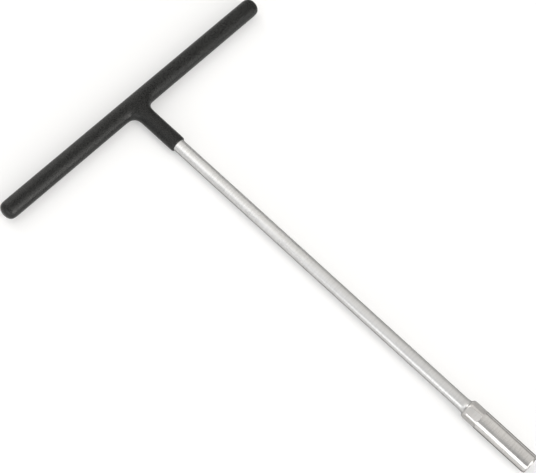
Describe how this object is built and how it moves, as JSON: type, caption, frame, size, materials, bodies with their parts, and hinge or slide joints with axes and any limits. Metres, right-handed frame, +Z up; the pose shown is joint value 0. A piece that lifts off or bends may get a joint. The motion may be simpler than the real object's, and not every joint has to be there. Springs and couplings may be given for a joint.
{
  "type": "t-handle socket wrench",
  "caption": "T-handle socket wrench: hex nut socket on a long straight steel shaft, welded under a cross bar with a soft T-shaped grip.",
  "frame": {"origin": "middle of the footprint of the tool lying on its side, on the surface it lies on", "axes": "+X along the cross bar, +Y along the shaft from the socket's mouth to the handle, +Z up"},
  "size_m": [0.208, 0.317, 0.012],
  "materials": {
    "black_vinyl": "matte dipped vinyl with a fine grain",
    "plain_steel": "plain drawn steel, hidden by the grip",
    "weld_metal": "weld bead as laid",
    "satin_chrome": "satin chrome plate",
    "braze_metal": "chrome plate over the filler metal",
    "bright_chrome": "bright chrome plate"
  },
  "bodies": {
    "root": {"grip": "black_vinyl", "cross_bar": "plain_steel", "weld_left": "weld_metal", "weld_right": "weld_metal", "shaft": "satin_chrome", "socket_braze": "braze_metal", "socket": "bright_chrome"}
  },
  "joints": []
}
